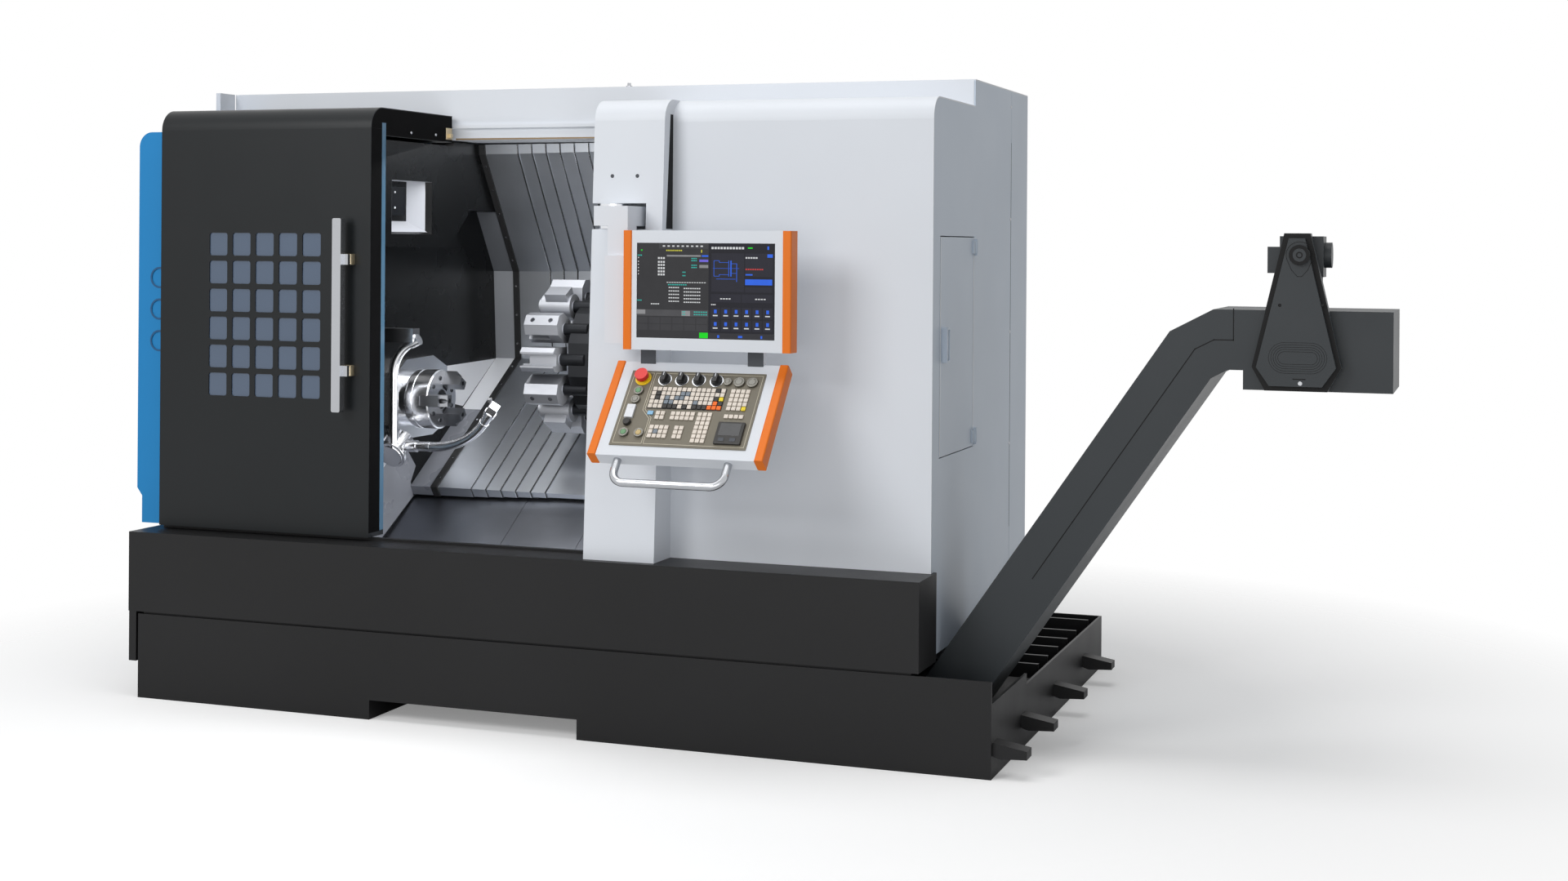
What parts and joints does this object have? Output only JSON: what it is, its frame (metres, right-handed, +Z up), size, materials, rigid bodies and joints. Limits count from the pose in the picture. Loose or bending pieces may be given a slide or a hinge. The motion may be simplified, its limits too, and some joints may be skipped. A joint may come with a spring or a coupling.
{
  "type": "cnc turning lathe",
  "caption": "Slant-bed turning lathe with a sliding windowed door, tool turret, chuck, swivel control console, coolant tank and rising chip conveyor.",
  "frame": {"origin": "centre of the bounding box's footprint, on the floor", "axes": "+X along the spindle towards the chip conveyor, +Y to the back, +Z up"},
  "size_m": [4.1348, 1.9682, 2.047],
  "materials": {
    "white_paint": "satin",
    "black_paint": "satin",
    "dark_paint": "gloss",
    "blue_paint": "satin",
    "orange_trim": "satin",
    "steel": "brushed",
    "dark_steel": "satin",
    "casting": "matte",
    "chrome": "polished",
    "pane": "gloss",
    "display": "gloss",
    "rubber": "matte",
    "knob_plastic": "matte",
    "membrane": "matte",
    "stop_red": "gloss"
  },
  "bodies": {
    "frame": {"coolant_tank": "black_paint", "levelling_feet": "dark_steel", "bed_casting": "casting", "base_skirt": "black_paint", "left_cover": "blue_paint", "roof_panel": "white_paint", "electrical_cabinet": "white_paint", "right_front_panel": "white_paint", "right_side_panel": "white_paint", "column_panel": "white_paint", "left_wall": "dark_paint", "right_wall": "dark_paint", "nose_cover": "steel", "work_light": "pane", "way_seal": "rubber", "chip_chute": "steel", "way_cover_1": "steel", "headstock": "casting", "spindle_motor": "dark_steel", "drive_belt": "rubber", "tool_setter_base": "chrome", "conveyor_trough": "black_paint", "conveyor_cover": "black_paint", "conveyor_belt": "dark_steel", "conveyor_drive": "black_paint"},
    "door": {"door_panel": "black_paint", "door_windows": "pane", "door_handle": "chrome"},
    "access": {"access_door": "white_paint"},
    "spindle": {"spindle": "steel", "chuck_cylinder": "dark_steel", "chuck_body": "steel"},
    "motor": {"motor_pulley": "steel"},
    "carriage": {"carriage": "casting", "carriage_cover": "steel"},
    "cross": {"cross_slide": "steel"},
    "turret": {"turret_disc": "dark_steel", "tool_holders": "steel"},
    "setter": {"tool_setter_arm": "chrome"},
    "console": {"console_arm": "dark_paint", "monitor_housing": "white_paint", "screen": "display", "console_stripes": "orange_trim", "keyboard_box": "white_paint", "keypad": "membrane", "console_handle": "chrome"},
    "estop": {"estop_button": "stop_red"},
    "conveyor_head": {"conveyor_shaft": "steel"},
    "jaw_1": {"jaw_1": "dark_steel"},
    "jaw_2": {"jaw_2": "dark_steel"},
    "jaw_3": {"jaw_3": "dark_steel"},
    "cover_2": {"way_cover_2": "steel"},
    "cover_3": {"way_cover_3": "steel"},
    "cover_4": {"way_cover_4": "steel"},
    "cover_5": {"way_cover_5": "steel"},
    "cover_6": {"way_cover_6": "steel"},
    "knob_1": {"knob_1": "knob_plastic"},
    "knob_2": {"knob_2": "knob_plastic"},
    "knob_3": {"knob_3": "knob_plastic"},
    "knob_4": {"knob_4": "knob_plastic"}
  },
  "joints": [
    {"name": "door_slide", "type": "slide", "parent": "frame", "child": "door", "axis": [1, 0, 0], "range_m": [0, 0.78]},
    {"name": "access_swing", "type": "hinge", "parent": "frame", "child": "access", "pos_m": [0.77462, -0.02989, 1.206], "axis": [0, 0, 1], "range_deg": [0, 110]},
    {"name": "spindle_spin", "type": "hinge", "parent": "frame", "child": "spindle", "pos_m": [-1.40738, -0.23089, 0.986], "axis": [1, 0, 0], "continuous": true},
    {"name": "motor_spin", "type": "hinge", "parent": "frame", "child": "motor", "pos_m": [-1.60738, 0.39556, 0.96474], "axis": [1, 0, 0], "continuous": true},
    {"name": "carriage_slide", "type": "slide", "parent": "frame", "child": "carriage", "axis": [1, 0, 0], "range_m": [0, 0.4]},
    {"name": "cross_slide", "type": "slide", "parent": "carriage", "child": "cross", "axis": [0, 0.848, 0.5299], "range_m": [-0.03, 0.13]},
    {"name": "turret_index", "type": "hinge", "parent": "cross", "child": "turret", "pos_m": [-0.52738, -0.00192, 1.12908], "axis": [1, 0, 0], "continuous": true},
    {"name": "setter_swing", "type": "hinge", "parent": "frame", "child": "setter", "pos_m": [-1.13738, -0.32557, 0.83369], "axis": [0, 0.848, 0.5299], "range_deg": [0, 40]},
    {"name": "console_swivel", "type": "hinge", "parent": "frame", "child": "console", "pos_m": [-0.24538, -0.55889, 1.6], "axis": [0, 0, 1], "range_deg": [-60, 10]},
    {"name": "estop_press", "type": "slide", "parent": "console", "child": "estop", "axis": [0, 0.766, -0.6428], "range_m": [0, 0.006], "stiffness_N_per_m": 1500},
    {"name": "conveyor_drive_spin", "type": "hinge", "parent": "frame", "child": "conveyor_head", "pos_m": [1.81338, -0.26089, 1.235], "axis": [0, 1, 0], "continuous": true},
    {"name": "jaw_1_slide", "type": "slide", "parent": "spindle", "child": "jaw_1", "axis": [0, -1, 0], "range_m": [-0.006, 0.002]},
    {"name": "jaw_2_slide", "type": "slide", "parent": "spindle", "child": "jaw_2", "axis": [0, 0.5, -0.866], "range_m": [-0.006, 0.002]},
    {"name": "jaw_3_slide", "type": "slide", "parent": "spindle", "child": "jaw_3", "axis": [0, 0.5, 0.866], "range_m": [-0.006, 0.002]},
    {"name": "cover_2_slide", "type": "slide", "parent": "frame", "child": "cover_2", "axis": [1, 0, 0], "range_m": [0, 0.06717]},
    {"name": "cover_3_slide", "type": "slide", "parent": "frame", "child": "cover_3", "axis": [1, 0, 0], "range_m": [0, 0.13383]},
    {"name": "cover_4_slide", "type": "slide", "parent": "frame", "child": "cover_4", "axis": [1, 0, 0], "range_m": [0, 0.2005]},
    {"name": "cover_5_slide", "type": "slide", "parent": "frame", "child": "cover_5", "axis": [1, 0, 0], "range_m": [0, 0.26717]},
    {"name": "cover_6_slide", "type": "slide", "parent": "frame", "child": "cover_6", "axis": [1, 0, 0], "range_m": [0, 0.33383]},
    {"name": "knob_1_turn", "type": "hinge", "parent": "console", "child": "knob_1", "pos_m": [0.01862, -0.76404, 1.11267], "axis": [0, -0.766, 0.6428], "range_deg": [-120, 120]},
    {"name": "knob_2_turn", "type": "hinge", "parent": "console", "child": "knob_2", "pos_m": [0.07262, -0.76404, 1.11267], "axis": [0, -0.766, 0.6428], "range_deg": [-120, 120]},
    {"name": "knob_3_turn", "type": "hinge", "parent": "console", "child": "knob_3", "pos_m": [0.12662, -0.76404, 1.11267], "axis": [0, -0.766, 0.6428], "range_deg": [-120, 120]},
    {"name": "knob_4_turn", "type": "hinge", "parent": "console", "child": "knob_4", "pos_m": [0.18262, -0.76404, 1.11267], "axis": [0, -0.766, 0.6428], "range_deg": [-120, 120]}
  ],
  "couplings": [
    {"joint": "motor_spin", "follows": "spindle_spin", "ratio": 1.375},
    {"joint": "jaw_2_slide", "follows": "jaw_1_slide", "ratio": 1},
    {"joint": "jaw_3_slide", "follows": "jaw_1_slide", "ratio": 1},
    {"joint": "cover_2_slide", "follows": "carriage_slide", "ratio": 0.16667},
    {"joint": "cover_3_slide", "follows": "carriage_slide", "ratio": 0.33333},
    {"joint": "cover_4_slide", "follows": "carriage_slide", "ratio": 0.5},
    {"joint": "cover_5_slide", "follows": "carriage_slide", "ratio": 0.66667},
    {"joint": "cover_6_slide", "follows": "carriage_slide", "ratio": 0.83333}
  ]
}
